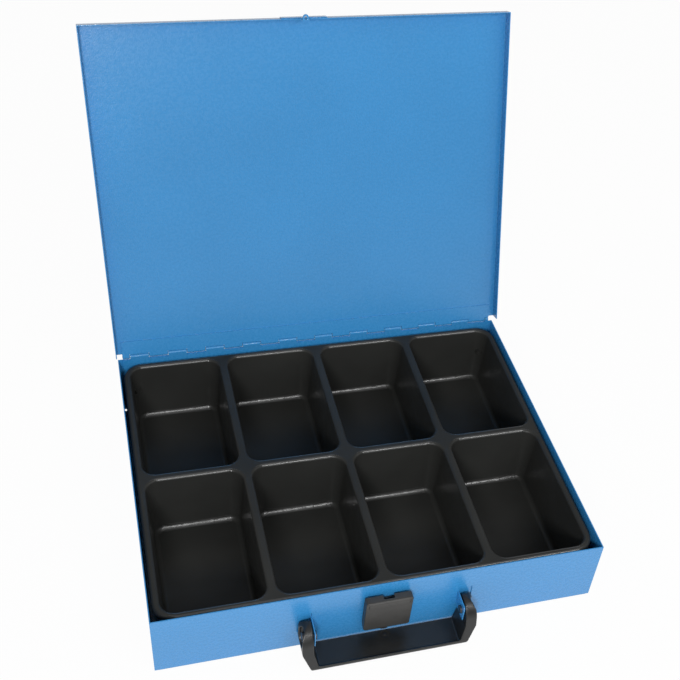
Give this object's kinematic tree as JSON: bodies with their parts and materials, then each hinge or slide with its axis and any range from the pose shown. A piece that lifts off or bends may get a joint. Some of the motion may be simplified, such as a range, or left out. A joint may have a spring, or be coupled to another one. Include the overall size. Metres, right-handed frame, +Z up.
{
  "type": "compartment storage box",
  "caption": "Flat sheet-steel storage case with a piano-hinged lid, a lift-out compartment tray, a folding carrying handle and a hook-over latch.",
  "frame": {"origin": "centre of the case's flat underside, on the surface it stands on", "axes": "+X along the width, to the right seen from the front; +Y from the latch side to the hinge side; +Z up"},
  "size_m": [0.3426, 0.3807, 0.3312],
  "materials": {
    "blue_paint": "gloss with a fine hammered texture",
    "hinge_steel": "dull bare steel",
    "tray_plastic": "satin",
    "handle_plastic": "satin",
    "latch_plastic": "satin, finely grained",
    "fastener_steel": "dull"
  },
  "bodies": {
    "case": {"case_body": "blue_paint", "hinge_leaf_case": "blue_paint", "hinge_pin": "hinge_steel", "handle_ear_left": "blue_paint", "handle_ear_right": "blue_paint", "latch_base": "handle_plastic", "latch_rivets": "fastener_steel"},
    "lid": {"lid": "blue_paint", "lid_catch": "blue_paint", "hinge_leaf_lid": "blue_paint"},
    "tray": {"compartment_tray": "tray_plastic"},
    "handle": {"carry_handle": "handle_plastic", "handle_pin_left": "fastener_steel", "handle_pin_right": "fastener_steel"},
    "latch": {"latch_flap": "latch_plastic", "latch_pin": "fastener_steel"}
  },
  "joints": [
    {"name": "lid_hinge", "type": "hinge", "parent": "case", "child": "lid", "pos_m": [0, 0.13635, 0.06235], "axis": [1, 0, 0], "range_deg": [0, 108]},
    {"name": "tray_lift", "type": "slide", "parent": "case", "child": "tray", "axis": [0, 0, 1], "range_m": [0, 0.07]},
    {"name": "handle_swing", "type": "hinge", "parent": "case", "child": "handle", "pos_m": [0, -0.14675, 0.0274], "axis": [-1, 0, 0], "range_deg": [0, 110]},
    {"name": "latch_swing", "type": "hinge", "parent": "case", "child": "latch", "pos_m": [0, -0.1389, 0.0187], "axis": [1, 0, 0], "range_deg": [-3, 25]}
  ]
}
